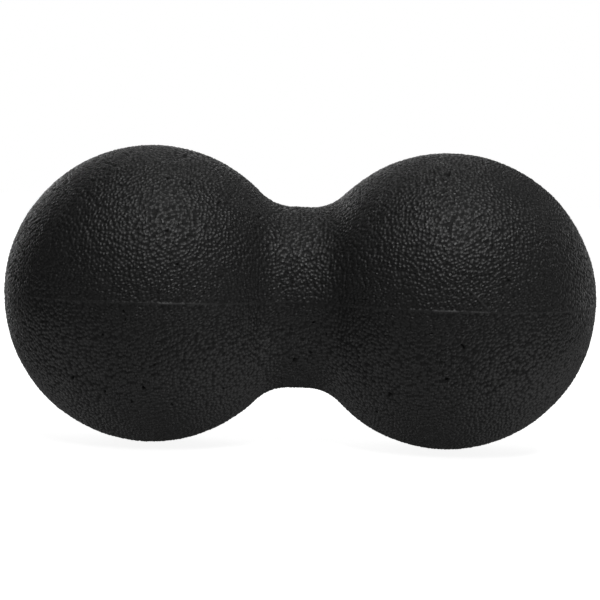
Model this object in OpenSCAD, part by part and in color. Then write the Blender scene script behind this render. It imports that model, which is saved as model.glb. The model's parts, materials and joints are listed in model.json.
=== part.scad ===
// Massage ball: two foam balls joined by a short waisted neck, moulded as one solid piece.
// The long axis is X, the mould's parting plane is XY, and the origin is the centre of the neck.

/* [Balls] */
// Diameter of each ball
ball_d = 80; // [76:1:90]
// Gap between the two balls' spheres, measured inside the neck; below 0 they overlap
ball_gap = -0.6; // [-2:0.1:8]

/* [Neck] */
// Diameter of the neck at its narrowest
neck_d = 49; // [46:0.25:56]
// Length of the straight stretch in the middle of the neck
neck_flat = 5; // [2:0.5:8]

/* [Parting line] */
// Width of the raised line that the two mould halves leave around the body
flash_w = 0.4; // [0.2:0.1:1]
// Height of that line above the surface
flash_h = 0.15; // [0.05:0.05:0.4]

/* [Hidden] */
$fn = 144;
foam_black = [0.12, 0.12, 0.125];

ball_r = ball_d / 2;
neck_r = neck_d / 2;
// Where each ball's centre lies on the long axis
ball_at = ball_r + ball_gap / 2;
// Where the neck's straight stretch ends and its flare begins
flare_at = neck_flat / 2;
// The flare is an arc tangent to both the ball and the neck
flare_r = ((ball_at - flare_at) ^ 2 + neck_r ^ 2 - ball_r ^ 2) / (2 * (ball_r - neck_r));
// Distance from the long axis to the centre of that arc
flare_off = neck_r + flare_r;

// Half of a disc, on the positive side of the long axis
module half_disc(r) {
    intersection() {
        circle(r = r);
        translate([0, -r]) square([r, 2 * r]);
    }
}

// Half of the outline: X is the distance from the long axis and Y runs along it.
// grow moves every stretch of the outline outwards by the same distance.
module half_outline(grow = 0) {
    difference() {
        union() {
            for (side = [-1, 1]) translate([0, side * ball_at]) half_disc(ball_r + grow);
            polygon([[0, -ball_at], [flare_off, -flare_at], [flare_off, flare_at], [0, ball_at]]);
        }
        for (side = [-1, 1]) translate([flare_off, side * flare_at]) circle(r = flare_r - grow);
        translate([neck_r + grow, -flare_at]) square([flare_r - grow, neck_flat]);
    }
}

// The turned shape: ball, neck, ball, solid all the way through
module turned_body() {
    rotate([0, 90, 0]) rotate_extrude() half_outline();
}

// The thin raised line along the parting plane, as a plate whose edge stands proud of the body
module parting_flash() {
    linear_extrude(height = flash_w, center = true)
        rotate([0, 0, 90])
            for (side = [0, 1]) mirror([side, 0]) half_outline(flash_h);
}

// The whole foam moulding
module foam_body() {
    color(foam_black) union() {
        turned_body();
        parting_flash();
    }
}

foam_body();
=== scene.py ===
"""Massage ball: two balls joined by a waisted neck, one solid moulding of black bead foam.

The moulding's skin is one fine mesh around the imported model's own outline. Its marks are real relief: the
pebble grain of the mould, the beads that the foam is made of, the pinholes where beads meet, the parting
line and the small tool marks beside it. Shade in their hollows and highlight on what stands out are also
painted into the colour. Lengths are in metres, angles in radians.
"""

import json
import math

import bpy
import numpy as np
from mathutils import Matrix, Vector, kdtree, noise


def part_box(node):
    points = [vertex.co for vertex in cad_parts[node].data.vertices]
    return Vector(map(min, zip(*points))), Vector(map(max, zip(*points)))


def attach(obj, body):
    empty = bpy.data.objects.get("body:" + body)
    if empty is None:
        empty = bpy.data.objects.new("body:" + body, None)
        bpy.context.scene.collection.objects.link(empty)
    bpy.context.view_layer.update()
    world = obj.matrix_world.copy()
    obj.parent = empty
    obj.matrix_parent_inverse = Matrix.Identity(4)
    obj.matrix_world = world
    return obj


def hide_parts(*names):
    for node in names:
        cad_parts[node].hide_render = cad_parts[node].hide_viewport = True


SEED = 11
MM = 0.001

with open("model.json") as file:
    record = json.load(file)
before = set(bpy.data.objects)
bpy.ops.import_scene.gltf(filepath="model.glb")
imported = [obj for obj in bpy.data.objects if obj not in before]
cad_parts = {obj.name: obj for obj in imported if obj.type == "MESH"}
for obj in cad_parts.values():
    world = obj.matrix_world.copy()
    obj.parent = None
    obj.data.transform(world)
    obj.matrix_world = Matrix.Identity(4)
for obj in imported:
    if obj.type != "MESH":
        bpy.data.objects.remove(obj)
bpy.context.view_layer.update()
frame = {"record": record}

# ---------------------------------------------------------------- the moulding's outline, from the frame

BODY_LOW, BODY_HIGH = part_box("foam_body")
CRADLE = next(m for m in frame["record"]["mounts"] if m["name"] == "neck_cradle")

BALL_R = (BODY_HIGH.z - BODY_LOW.z) / 2
FLASH_H = BODY_HIGH.y - BALL_R                  # how far the parting line stands proud
BALL_AT = BODY_HIGH.x - FLASH_H - BALL_R        # the balls' centres are at x = +-BALL_AT
NECK_R = abs(CRADLE["pos_m"][2])
FLARE_AT = 2.5 * MM                             # the neck's straight stretch ends here

FLARE_R = ((BALL_AT - FLARE_AT) ** 2 + NECK_R**2 - BALL_R**2) / (2 * (BALL_R - NECK_R))
FLARE_ANGLE = math.atan2(BALL_AT - FLARE_AT, NECK_R + FLARE_R)
BALL_ANGLE = math.pi / 2 + FLARE_ANGLE          # from a ball's outer pole to where its flare begins
BALL_LENGTH = BALL_R * BALL_ANGLE
FLARE_LENGTH = FLARE_R * FLARE_ANGLE
OUTLINE_LENGTH = 2 * (BALL_LENGTH + FLARE_LENGTH + FLARE_AT)

# ---------------------------------------------------------------- the skin's marks

MESH_STEP = 0.23 * MM                           # between the mesh's points

# The mould's pebble grain. Jitter and spread are in pitches.
GRAIN_PITCH = 1.14 * MM
GRAIN_JITTER = 0.38                             # how far a pebble may lie from its place in its row
GRAIN_THINNING = 0.02                           # the share of pebbles left out
PEBBLE_SPREAD = 0.14                            # how much wider than others a pebble may be
PEBBLE_LOWEST = 0.45                            # the lowest pebble's height, as a share of the highest's
PEBBLE_R = 0.52 * GRAIN_PITCH                   # from the middle of a pebble's dome to its foot
PEBBLE_EDGE = 0.08 * GRAIN_PITCH                # how gently a pebble's side falls into the valley
WARP_SIZE = 1.1 * MM                            # the waviness of the pebbles' edges
WARP_DEPTH = 0.12 * MM
GRAIN_DEPTH = 0.4 * MM
GRAIN_PATCH = 14 * MM                           # the grain is deeper in some patches than in others
GRAIN_CHANGE = 0.25

# The foam's beads, the creases between them, and the pits where three of them meet
BEAD_PITCH = 4.3 * MM
BEAD_JITTER = 0.34
BEAD_THINNING = 0.05
BEAD_SPREAD = 0.2
CREASE_WIDTH = 0.16 * MM
CREASE_DEPTH = 0.05 * MM
OPEN_SHARE = 0.002                              # of the places where beads meet
OPEN_R = 0.25 * MM
DIMPLED_SHARE = 0.02                            # the open ones among them
DIMPLE_R = 0.18 * MM
PIT_DEPTH = 0.55 * MM

# Unevenness of the skin, from broad to fine
WAVE_SIZE = 11 * MM
WAVE_DEPTH = 0.10 * MM
RIPPLE_SIZE = 4.5 * MM
RIPPLE_DEPTH = 0.3 * WAVE_DEPTH
ROUGH_SIZE = 0.45 * MM
ROUGH_DEPTH = 0.05 * MM

# The parting line
LINE_WIDTH = 0.17 * MM                          # from its crest to its foot
LINE_HEIGHT = 0.05 * MM
LINE_CHANGE = 5 * MM                            # its height comes and goes over this length
LINE_NOTCH = 1.1 * MM                           # and its crest is uneven over this one
LINE_BAND = 0.35 * MM                           # the grain is flattened this far to each side of it
LINE_HIGHLIGHT_HEIGHT = 0.15 * MM                         # where it is this high, its painted highlight is at its palest
CREST_END = 0.6 * MM                            # over which a raised stretch of it begins and ends
SUNK_REACH = 8 * MM                             # over the neck it is sunk
SUNK_DEPTH = 0.10 * MM
HALVES_STEP = 0.035 * MM                        # how far the upper mould half stands out past the lower
HALVES_BLEND = 0.1 * MM

TOOL_MARK_WIDTH = 0.26 * MM                     # from its crest to its foot
TOOL_MARK_HIGHLIGHT_HEIGHT = 0.16 * MM                    # a mark of this height has its palest painted highlight

# Stretches of the front where the parting line stands higher: from x, to x, extra height
LINE_CRESTS = [
    (-35.4 * MM, -29.2 * MM, 0.20 * MM),
    (-27.8 * MM, -21.5 * MM, 0.05 * MM),
    (33.4 * MM, 40.0 * MM, 0.11 * MM),
    (43.2 * MM, 48.2 * MM, 0.12 * MM),
]

# Marks of the tool on the front of the right-hand ball: from (x, z) to (x, z), height
TOOL_MARKS = [
    ((43.0 * MM, 5.4 * MM), (47.9 * MM, 0.4 * MM), 0.16 * MM),
    ((48.6 * MM, 5.0 * MM), (53.4 * MM, 0.2 * MM), 0.03 * MM),
]

# Pinholes seen on the front: x, z, radius
PINHOLES = [
    (-49.9 * MM, -8.5 * MM, 0.25 * MM),
    (-58.2 * MM, -20.5 * MM, 0.35 * MM),
    (-39.5 * MM, -22.4 * MM, 0.35 * MM),
    (-42.8 * MM, -26.2 * MM, 0.30 * MM),
    (-49.7 * MM, -23.7 * MM, 0.30 * MM),
    (-32.3 * MM, -26.9 * MM, 0.35 * MM),
    (-31.4 * MM, 37.3 * MM, 0.35 * MM),
    (-35.0 * MM, 31.8 * MM, 0.30 * MM),
    (-29.0 * MM, 30.4 * MM, 0.30 * MM),
    (-21.3 * MM, 25.5 * MM, 0.40 * MM),
    (37.6 * MM, 34.8 * MM, 0.50 * MM),
    (23.6 * MM, -22.7 * MM, 0.50 * MM),
    (38.0 * MM, -17.7 * MM, 0.35 * MM),
    (20.7 * MM, -28.4 * MM, 0.30 * MM),
    (52.8 * MM, 8.3 * MM, 0.30 * MM),
    (-0.9 * MM, -15.5 * MM, 0.50 * MM),
    (3.0 * MM, -13.1 * MM, 0.30 * MM),
]

# ---------------------------------------------------------------- the foam's looks

# Greys, as linear values. The valley, crease and pit greys are painted shade, and the pebble and ridge
# greys are painted highlight.
VALLEY_SHADE_GREY = 0.012
PEBBLE_HIGHLIGHT_GREY = 0.034
BEAD_GREY = 0.032
RIDGE_HIGHLIGHT_GREY = 0.11
CREASE_SHADE_GREY = 0.003
PIT_SHADE_GREY = 0.001

VALLEY_ROUGHNESS = 0.81
PEBBLE_ROUGHNESS = 0.21
SPECK_ROUGHNESS = 0.20                          # how much it varies from speck to speck
BEAD_ROUGHNESS = 0.08                           # and from bead to bead
PIT_ROUGHNESS = 0.4                             # how much duller the pinholes are

# ---------------------------------------------------------------- the studio

AMBIENT = 0.02                                  # even light from all round
FLOOR_R = 3.0
GLOW_NEAR = (0.1, 0.90)                         # distance from the floor's middle, and its glow there
GLOW_FAR = (0.5, 1.0)
SOFTBOX_AWAY = 0.9                              # from the neck to each light

# Round lights: name, azimuth and elevation in degrees, radius, radiance. The low ones stand for the light
# that a pale table throws back.
SOFTBOXES = [
    ("key_high", 0, 75, 0.13, 6.3),
    ("key_low", 0, 45, 0.13, 7.2),
    ("side", 45, 60, 0.13, 5.8),
    ("back", 180, 30, 0.30, 0.95),
    ("rim_left", -150, 10, 0.30, 2.0),
    ("rim_right", 130, 10, 0.30, 0.75),
    ("table_left", -60, -35, 0.50, 0.29),
    ("table_right", 60, -35, 0.50, 0.56),
    ("table_below", 0, -60, 0.50, 0.22),
    ("table_rear_left", -120, -35, 0.50, 0.30),
    ("table_rear_right", 120, -35, 0.50, 0.24),
]

CAMERA_AWAY = 0.6075
CAMERA_ELEVATION = math.radians(3.8)
CAMERA_TILT = math.radians(1.57)
CAMERA_TARGET = Vector((0, 0, -0.7 * MM))
LENS_MM = 135
SENSOR_MM = 36

# ---------------------------------------------------------------- the moulding's outline


def outline(s):
    """Place on the axis, radius, and the outward normal's two parts, at distances s along the outline."""
    t = np.minimum(s, OUTLINE_LENGTH - s)       # the outline is the same from both ends
    around_ball = t / BALL_R
    up_flare = FLARE_ANGLE - (t - BALL_LENGTH) / FLARE_R
    parts = [t <= BALL_LENGTH, t <= BALL_LENGTH + FLARE_LENGTH]
    x = np.select(
        parts,
        [BALL_AT + BALL_R * np.cos(around_ball), FLARE_AT + FLARE_R * np.sin(up_flare)],
        OUTLINE_LENGTH / 2 - t,
    )
    r = np.select(parts, [BALL_R * np.sin(around_ball), NECK_R + FLARE_R * (1 - np.cos(up_flare))], NECK_R)
    normal_x = np.select(parts, [np.cos(around_ball), -np.sin(up_flare)], 0.0)
    normal_r = np.select(parts, [np.sin(around_ball), np.cos(up_flare)], 1.0)
    side = np.where(s < OUTLINE_LENGTH / 2, -1.0, 1.0)
    return x * side, np.maximum(r, 0.0), normal_x * side, normal_r


def turned(s, turn):
    """Points and outward normals of the smooth moulding. Turn 0 is below, a quarter turn is the back."""
    x, r, normal_x, normal_r = outline(s)
    y, z = np.sin(turn), -np.cos(turn)
    points = np.stack([x, r * y, r * z], axis=1)
    normals = np.stack([normal_x, normal_r * y, normal_r * z], axis=1)
    return points, normals


def rings(pitch, multiple=1):
    """Rings of points a pitch apart: their distances along the outline, and how many points each has."""
    rows = round(OUTLINE_LENGTH / (pitch * math.sqrt(3) / 2))
    s = np.linspace(0, OUTLINE_LENGTH, rows + 1)[1:-1]
    around = 2 * math.pi * outline(s)[1] / pitch
    return s, multiple * np.maximum(2, np.round(around / multiple)).astype(int)


def indices(counts):
    """0, 1, 2... for each count in turn, in one array."""
    return np.concatenate([np.arange(n) for n in counts])


# ---------------------------------------------------------------- the smooth mesh


def drawn_to_parting_line(turn, radius):
    """Turns moved so that points crowd along the parting line, which is finer than the mesh elsewhere."""
    reach = 0.8 * MM
    strongest = 0.55
    nearest = np.where(turn < math.pi, math.pi / 2, 3 * math.pi / 2)
    away = (turn - nearest) * radius
    # Weaker towards the ends of the long axis, where the rings are small
    pull = strongest * np.minimum(1, (radius / (5 * reach)) ** 2)
    return nearest + (turn - nearest) * (1 - pull * np.exp(-((away / reach) ** 2)))


def smooth_mesh():
    """The smooth moulding in even triangles: points, normals, triangles and their unwrapped corners."""
    s, counts = rings(MESH_STEP, multiple=4)    # so that every ring has a point on the parting line
    start = np.concatenate([[1], 1 + np.cumsum(counts)])
    turn = 2 * math.pi * indices(counts) / np.repeat(counts, counts)
    turn = drawn_to_parting_line(turn, np.repeat(outline(s)[1], counts))
    along = np.concatenate([[0.0], np.repeat(s, counts), [OUTLINE_LENGTH]])
    turn = np.concatenate([[0.0], turn, [0.0]])
    points, normals = turned(along, turn)
    faces, uvs = [], []

    def corner(ring, j):
        """A ring's points j, with their places in the unwrapping, which is cut open along turn 0."""
        n = counts[ring]
        u = np.where(j == n, 1.0, turn[start[ring] + j % n] / (2 * math.pi))
        return start[ring] + j % n, u, np.full(len(j), s[ring] / OUTLINE_LENGTH)

    def add(*corners):
        faces.append(np.stack([c[0] for c in corners], axis=1))
        uvs.append(np.stack([np.stack(c[1:], axis=1) for c in corners], axis=1))

    for ring in range(len(s) - 1):
        n, m = counts[ring], counts[ring + 1]
        j, k = np.arange(n), np.arange(m)
        # Whole numbers only, so that rings with equal counts join up without a slip
        opposite = np.clip(-((n - (2 * j + 1) * m) // (2 * n)), 0, m)
        add(corner(ring, j), corner(ring, j + 1), corner(ring + 1, opposite))
        opposite = np.clip(((2 * k + 1) * n - m) // (2 * m) + 1, 0, n)
        add(corner(ring + 1, k + 1), corner(ring + 1, k), corner(ring, opposite))
    for ring, pole, v in ((0, 0, 0.0), (len(s) - 1, len(points) - 1, 1.0)):
        j = np.arange(counts[ring])
        tip = (np.full(len(j), pole), (j + 0.5) / counts[ring], np.full(len(j), v))
        ends = (corner(ring, j), corner(ring, j + 1))
        add(*(ends[::-1] if pole == 0 else ends), tip)
    return points, normals, np.concatenate(faces), np.concatenate(uvs)


# ---------------------------------------------------------------- patterns on the skin


def lumps(points, size, offset):
    """Smooth noise of about -1 to 1, with lumps of the given size. Each offset gives another pattern."""
    return np.array([noise.noise(p) for p in (points / size + offset).tolist()])


def plateau(away, flat):
    """1 where away is less than flat, falling evenly to 0 where it is 1 more."""
    return np.clip(1 + flat - away, 0, 1)


def scattered(pitch, jitter, thinning, rng):
    """Points over the moulding, about a pitch apart, moved by up to jitter pitches, with some left out."""
    s, counts = rings(pitch)
    total = counts.sum()
    along = np.repeat(s, counts) + rng.uniform(-jitter, jitter, total) * pitch
    along = np.clip(along, 0, OUTLINE_LENGTH)
    first = np.repeat(rng.random(len(s)), counts)
    turn = 2 * math.pi * (indices(counts) + first) / np.repeat(counts, counts)
    radius = np.maximum(outline(along)[1], pitch / 4)
    turn = turn + rng.uniform(-jitter, jitter, total) * pitch / radius
    return turned(along, turn)[0][rng.random(total) > thinning]


def cells(points, seeds, weights):
    """The cells that points lie in. A seed's weight makes its cell larger.

    Gives each point's three nearest seeds, its distance from the first, how far it is inside its cell's
    edge, and how far it is from its cell's nearest corner.
    """
    tree = kdtree.KDTree(len(seeds))
    for i, seed in enumerate(seeds.tolist()):
        tree.insert(seed, i)
    tree.balance()
    found = (value for p in points.tolist() for _, i, away in tree.find_n(p, 4) for value in (i, away))
    found = np.fromiter(found, float, 8 * len(points)).reshape(-1, 4, 2)
    near = found[:, :, 0].astype(int)
    away = found[:, :, 1] - weights[near]
    order = np.argsort(away, axis=1)
    near = np.take_along_axis(near, order, axis=1)
    away = np.take_along_axis(away, order, axis=1)
    return near[:, :3], away[:, 0], (away[:, 1] - away[:, 0]) / 2, (away[:, 2] - away[:, 0]) / 2


def pebble_grain(points, rng):
    """The mould's leather-like grain, from 0 in its valleys to about 1 on its pebbles."""
    seeds = scattered(GRAIN_PITCH, GRAIN_JITTER, GRAIN_THINNING, rng)
    weights = rng.uniform(0, PEBBLE_SPREAD, len(seeds)) * GRAIN_PITCH
    warp = np.stack([lumps(points, WARP_SIZE, k * 37.0) for k in (1, 2, 3)], axis=1)
    near, away, inside, _ = cells(points + WARP_DEPTH * warp, seeds, weights)
    height = rng.uniform(PEBBLE_LOWEST, 1.0, len(seeds))[near[:, 0]]
    # Half of a pebble is a round dome, and half is a flat top with steep sides
    dome = np.clip(1 - (away / PEBBLE_R) ** 2, -0.4, 1)
    flat_top = height * (1 - np.exp(-inside / PEBBLE_EDGE))
    return 0.5 * dome + 0.5 * flat_top


def bead_pattern(points, rng):
    """The foam's beads: each bead's shade, the creases between beads (1 in a crease) and the pinholes."""
    seeds = scattered(BEAD_PITCH, BEAD_JITTER, BEAD_THINNING, rng)
    weights = rng.uniform(0, BEAD_SPREAD, len(seeds)) * BEAD_PITCH
    near, _, inside, corner = cells(points, seeds, weights)
    shade = rng.random(len(seeds))[near[:, 0]]
    crease = np.exp(-((inside / CREASE_WIDTH) ** 1.5))
    # Three beads meet at a corner, and every point round it looks up the same chance by their numbers
    primes = np.array([7919, 104729, 1299709])
    table = rng.random(10007)
    chance = table[np.sort(near, axis=1) @ primes % len(table)]
    radius = np.where(chance < OPEN_SHARE, OPEN_R, DIMPLE_R)
    pit = (chance < DIMPLED_SHARE) * plateau(corner / radius, 0.4)
    return shade, crease, pit


def named_pinholes(points):
    """The pinholes listed at the top of the script, 1 at the bottom of each."""
    pit = np.zeros(len(points))
    front = points[:, 1] < 0
    for x, z, radius in PINHOLES:
        away = np.hypot(points[:, 0] - x, points[:, 2] - z)
        pit = np.maximum(pit, front * plateau(away / radius, 0.6))
    return pit


def parting_line(points):
    """The line that the two mould halves leave round the body: its height, its painted highlight where
    raised, and where sunk.
    """
    x, y, z = points.T
    along = points * [1, 1, 0]
    across = plateau(np.abs(z) / LINE_WIDTH, 0.4)
    height = LINE_HEIGHT * np.clip(0.55 + 1.1 * lumps(along, LINE_CHANGE, 5.0), 0.05, 1.4)
    height += 0.5 * LINE_HEIGHT * lumps(along, LINE_NOTCH, 9.0)
    neck = plateau(np.abs(x) / SUNK_REACH, 0.5)
    height = height * (1 - neck) - SUNK_DEPTH * neck
    for start, end, extra in LINE_CRESTS:
        from_end = np.minimum(x - start, end - x)
        height += (y < 0) * extra * np.clip(0.5 + from_end / CREST_END, 0, 1)
    # The second value is the line's painted highlight, paler where the line stands higher
    return height * across, across * np.clip(height / LINE_HIGHLIGHT_HEIGHT, 0, 1), across * neck


def tool_marks(points):
    """Height of the marks beside the parting line, and their shape across (1 on a crest), which also sets
    their painted highlight.
    """
    place = points[:, [0, 2]]
    height = np.zeros(len(points))
    shape = np.zeros(len(points))
    for start, end, crest in TOOL_MARKS:
        start, end = np.array(start), np.array(end)
        run = end - start
        t = np.clip((place - start) @ run / (run @ run), 0, 1)
        away = np.linalg.norm(place - start - t[:, None] * run, axis=1)
        across = (points[:, 1] < 0) * plateau(away / TOOL_MARK_WIDTH, 0.3)
        height = np.maximum(height, crest * across)
        # The same shape flattens the grain and sets the mark's painted highlight
        shape = np.maximum(shape, across * crest / TOOL_MARK_HIGHLIGHT_HEIGHT)
    return height, shape


def relief(points):
    """How far each point of the skin stands out from the smooth moulding, and its material's layers."""
    rng = np.random.default_rng(SEED)
    grain = pebble_grain(points, rng)
    shade, crease, pit = bead_pattern(points, rng)
    pit = np.maximum(pit, named_pinholes(points))
    line, line_highlight, sunk = parting_line(points)
    marks, mark_and_highlight = tool_marks(points)

    # How much of the grain is pressed flat, along the parting line and on the tool marks
    flat = np.maximum(0.85 * np.exp(-((points[:, 2] / LINE_BAND) ** 2)), 0.8 * mark_and_highlight)
    depth = GRAIN_DEPTH * (1 + GRAIN_CHANGE * lumps(points, GRAIN_PATCH, 2.0)) * (1 - flat)
    height = depth * (grain - 1)
    height += ROUGH_DEPTH * lumps(points, ROUGH_SIZE, 20.0)
    height -= CREASE_DEPTH * crease
    height += WAVE_DEPTH * lumps(points, WAVE_SIZE, 3.0) + RIPPLE_DEPTH * lumps(points, RIPPLE_SIZE, 4.0)
    height -= PIT_DEPTH * pit**0.7
    height += HALVES_STEP * np.clip(points[:, 2] / HALVES_BLEND, -1, 1)
    height += line + marks
    # Masks for the material; the grain, crease, pit and ridge masks also carry painted shade and painted
    # highlight
    layers = {
        "grain": grain * (1 - 0.5 * flat),
        "bead": shade,
        "crease": np.maximum(crease, sunk),
        "pit": pit,
        "ridge_highlight": np.maximum(line_highlight, 0.8 * mark_and_highlight),
    }
    return height, layers


# ---------------------------------------------------------------- the foam's material


def foam_material():
    """Black bead foam: pebbles polished by the mould, dull valleys, each bead a little different, with
    painted shade in the valleys, creases and pinholes and painted highlight on the pebbles, the parting
    line and the tool marks.
    """
    mat = bpy.data.materials.new("foam")
    mat.use_nodes = True
    tree = mat.node_tree
    bsdf = tree.nodes["Principled BSDF"]
    bsdf.inputs["Specular IOR Level"].default_value = 0.6

    def layer(name):
        node = tree.nodes.new("ShaderNodeAttribute")
        node.attribute_name = name
        return node.outputs["Fac"]

    def put(socket, value):
        if isinstance(value, bpy.types.NodeSocket):
            tree.links.new(value, socket)
        else:
            socket.default_value = value

    def math_node(operation, *values, clamp=False):
        node = tree.nodes.new("ShaderNodeMath")
        node.operation = operation
        node.use_clamp = clamp
        for socket, value in zip(node.inputs, values):
            put(socket, value)
        return node.outputs[0]

    def mixed(factor, colour, grey):
        """A colour socket, or a grey, blended towards another grey."""
        node = tree.nodes.new("ShaderNodeMix")
        node.data_type = "RGBA"
        put(node.inputs["Factor"], factor)
        if not isinstance(colour, bpy.types.NodeSocket):
            colour = (colour, colour, colour, 1)
        put(node.inputs["A"], colour)
        put(node.inputs["B"], (grey, grey, grey, 1))
        return node.outputs["Result"]

    def varied(value, factor, amount):
        """A value that rises by an amount as the factor goes from 0 to 1, and is unchanged halfway."""
        return math_node("MULTIPLY_ADD", factor, amount, math_node("SUBTRACT", value, amount / 2))

    def grit(size, detail):
        """Noise in the object's own space, with specks of the given size."""
        node = tree.nodes.new("ShaderNodeTexNoise")
        place = tree.nodes.new("ShaderNodeTexCoord")
        tree.links.new(place.outputs["Object"], node.inputs["Vector"])
        node.inputs["Scale"].default_value = 1 / size
        node.inputs["Detail"].default_value = detail
        return node.outputs["Fac"]

    mottle = grit(6 * MM, 4)
    specks = grit(0.45 * MM, 2)
    fine = math_node("MULTIPLY_ADD", grit(0.5 * MM, 1), 3.0, -1.0, clamp=True)
    grain = layer("grain")

    # Painted highlight on the pebbles' tops and painted shade in their valleys, each top with its own fleck
    fleck = math_node("MULTIPLY_ADD", fine, 1.1, 0.3)
    top_highlight = math_node("MULTIPLY", math_node("POWER", grain, 1.3), fleck)
    colour = mixed(top_highlight, VALLEY_SHADE_GREY, PEBBLE_HIGHLIGHT_GREY)
    lighter = math_node("MULTIPLY", math_node("ADD", layer("bead"), mottle), 0.12)
    colour = mixed(lighter, colour, BEAD_GREY)
    # Painted highlight on the parting line's raised stretches and on the tool marks
    colour = mixed(math_node("MULTIPLY", layer("ridge_highlight"), 0.6), colour, RIDGE_HIGHLIGHT_GREY)
    # Painted shade in the creases between beads and along the sunk stretch of the parting line
    colour = mixed(math_node("MULTIPLY", layer("crease"), 0.5), colour, CREASE_SHADE_GREY)
    # Painted shade in the pinholes
    put(bsdf.inputs["Base Color"], mixed(layer("pit"), colour, PIT_SHADE_GREY))

    # Duller in the valleys, on the specks and in the pinholes
    rough = math_node("MULTIPLY_ADD", grain, PEBBLE_ROUGHNESS - VALLEY_ROUGHNESS, VALLEY_ROUGHNESS)
    rough = varied(rough, specks, SPECK_ROUGHNESS)
    rough = varied(rough, layer("bead"), BEAD_ROUGHNESS)
    rough = math_node("MULTIPLY_ADD", layer("pit"), PIT_ROUGHNESS, rough, clamp=True)
    put(bsdf.inputs["Roughness"], rough)

    bump = tree.nodes.new("ShaderNodeBump")
    bump.inputs["Strength"].default_value = 1.0
    bump.inputs["Distance"].default_value = 0.05 * MM
    put(bump.inputs["Height"], specks)
    tree.links.new(bump.outputs["Normal"], bsdf.inputs["Normal"])
    return mat


# ---------------------------------------------------------------- the moulding


def foam_skin():
    """The whole moulding as one mesh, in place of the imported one."""
    points, normals, faces, uvs = smooth_mesh()
    height, layers = relief(points)
    points = points + normals * height[:, None]

    mesh = bpy.data.meshes.new("foam_skin")
    mesh.vertices.add(len(points))
    mesh.loops.add(3 * len(faces))
    mesh.polygons.add(len(faces))
    mesh.vertices.foreach_set("co", points.astype(np.float32).ravel())
    mesh.loops.foreach_set("vertex_index", faces.astype(np.int32).ravel())
    mesh.polygons.foreach_set("loop_start", np.arange(0, 3 * len(faces), 3, dtype=np.int32))
    mesh.update(calc_edges=True)
    mesh.polygons.foreach_set("use_smooth", np.ones(len(faces), bool))
    unwrapped = mesh.uv_layers.new(name="OFBake")
    unwrapped.data.foreach_set("uv", uvs.astype(np.float32).ravel())
    for name, values in layers.items():
        layer = mesh.attributes.new(name, "FLOAT", "POINT")
        layer.data.foreach_set("value", np.clip(values, 0, 1).astype(np.float32))
    mesh.materials.append(foam_material())

    skin = bpy.data.objects.new("foam_skin", mesh)
    bpy.context.scene.collection.objects.link(skin)
    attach(skin, "root")
    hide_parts("foam_body")


# ---------------------------------------------------------------- studio


def studio_world():
    """White where the camera looks, and a dimmer even light on everything else."""
    world = bpy.data.worlds.new("studio")
    bpy.context.scene.world = world
    world.use_nodes = True
    tree = world.node_tree
    tree.nodes.clear()
    output = tree.nodes.new("ShaderNodeOutputWorld")
    choice = tree.nodes.new("ShaderNodeMixShader")
    path = tree.nodes.new("ShaderNodeLightPath")
    tree.links.new(path.outputs["Is Camera Ray"], choice.inputs[0])
    for socket, level in ((1, AMBIENT), (2, 1.0)):
        background = tree.nodes.new("ShaderNodeBackground")
        background.inputs["Color"].default_value = (level, level, level, 1)
        tree.links.new(background.outputs[0], choice.inputs[socket])
    tree.links.new(choice.outputs[0], output.inputs[0])


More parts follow.
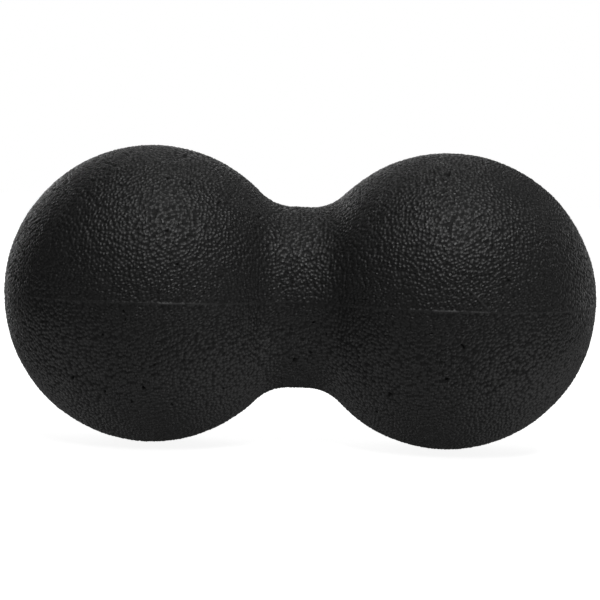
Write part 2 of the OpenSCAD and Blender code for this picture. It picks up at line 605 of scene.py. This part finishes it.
def studio_floor():
    """A pale floor that glows, a little less near the ball: white, but for the ball's faint shadow."""
    place = (0, 0, BODY_LOW.z)
    bpy.ops.mesh.primitive_circle_add(vertices=64, radius=FLOOR_R, fill_type="NGON", location=place)
    floor = bpy.context.object
    floor.name = "floor"
    mat = bpy.data.materials.new("floor")
    mat.use_nodes = True
    tree = mat.node_tree
    bsdf = tree.nodes["Principled BSDF"]
    bsdf.inputs["Base Color"].default_value = (0.8, 0.8, 0.8, 1)
    bsdf.inputs["Roughness"].default_value = 0.9
    bsdf.inputs["Specular IOR Level"].default_value = 0.0
    bsdf.inputs["Emission Color"].default_value = (1, 1, 1, 1)
    coordinates = tree.nodes.new("ShaderNodeTexCoord")
    away = tree.nodes.new("ShaderNodeVectorMath")
    away.operation = "LENGTH"
    glow = tree.nodes.new("ShaderNodeMapRange")
    for end, (distance, level) in (("Min", GLOW_NEAR), ("Max", GLOW_FAR)):
        glow.inputs["From " + end].default_value = distance
        glow.inputs["To " + end].default_value = level
    tree.links.new(coordinates.outputs["Object"], away.inputs[0])
    tree.links.new(away.outputs["Value"], glow.inputs["Value"])
    tree.links.new(glow.outputs["Result"], bsdf.inputs["Emission Strength"])
    floor.data.materials.append(mat)
    floor.visible_diffuse = False
    floor.visible_glossy = False
    floor.visible_shadow = False


def softbox(name, azimuth, elevation, radius, radiance):
    """A round area light that faces the neck. Azimuth 0 is the camera's side, and 90 is the +X side."""
    azimuth, elevation = math.radians(azimuth), math.radians(elevation)
    level = math.cos(elevation)
    away = Vector((math.sin(azimuth) * level, -math.cos(azimuth) * level, math.sin(elevation)))

    data = bpy.data.lights.new(name, "AREA")
    data.shape = "DISK"
    data.size = 2 * radius
    data.energy = radiance * math.pi * (math.pi * radius**2)    # in watts
    light = bpy.data.objects.new(name, data)
    facing = (-away).to_track_quat("-Z", "Y").to_matrix().to_4x4()
    light.matrix_world = Matrix.Translation(away * SOFTBOX_AWAY) @ facing
    bpy.context.scene.collection.objects.link(light)


def studio_camera():
    """A long lens just above the ball's middle, held with a slight tilt to one side."""
    back = Vector((0, -math.cos(CAMERA_ELEVATION), math.sin(CAMERA_ELEVATION)))
    place = Matrix.Translation(CAMERA_TARGET + back * CAMERA_AWAY)
    facing = (-back).to_track_quat("-Z", "Y").to_matrix().to_4x4()
    tilt = Matrix.Rotation(CAMERA_TILT, 4, "Z")

    data = bpy.data.cameras.new("camera")
    data.lens = LENS_MM
    data.sensor_width = SENSOR_MM
    data.clip_start = 0.05
    camera = bpy.data.objects.new("camera", data)
    camera.matrix_world = place @ facing @ tilt
    bpy.context.scene.collection.objects.link(camera)
    bpy.context.scene.camera = camera


foam_skin()
bpy.context.scene.view_settings.view_transform = "Standard"
studio_world()
studio_floor()
for row in SOFTBOXES:
    softbox(*row)
studio_camera()
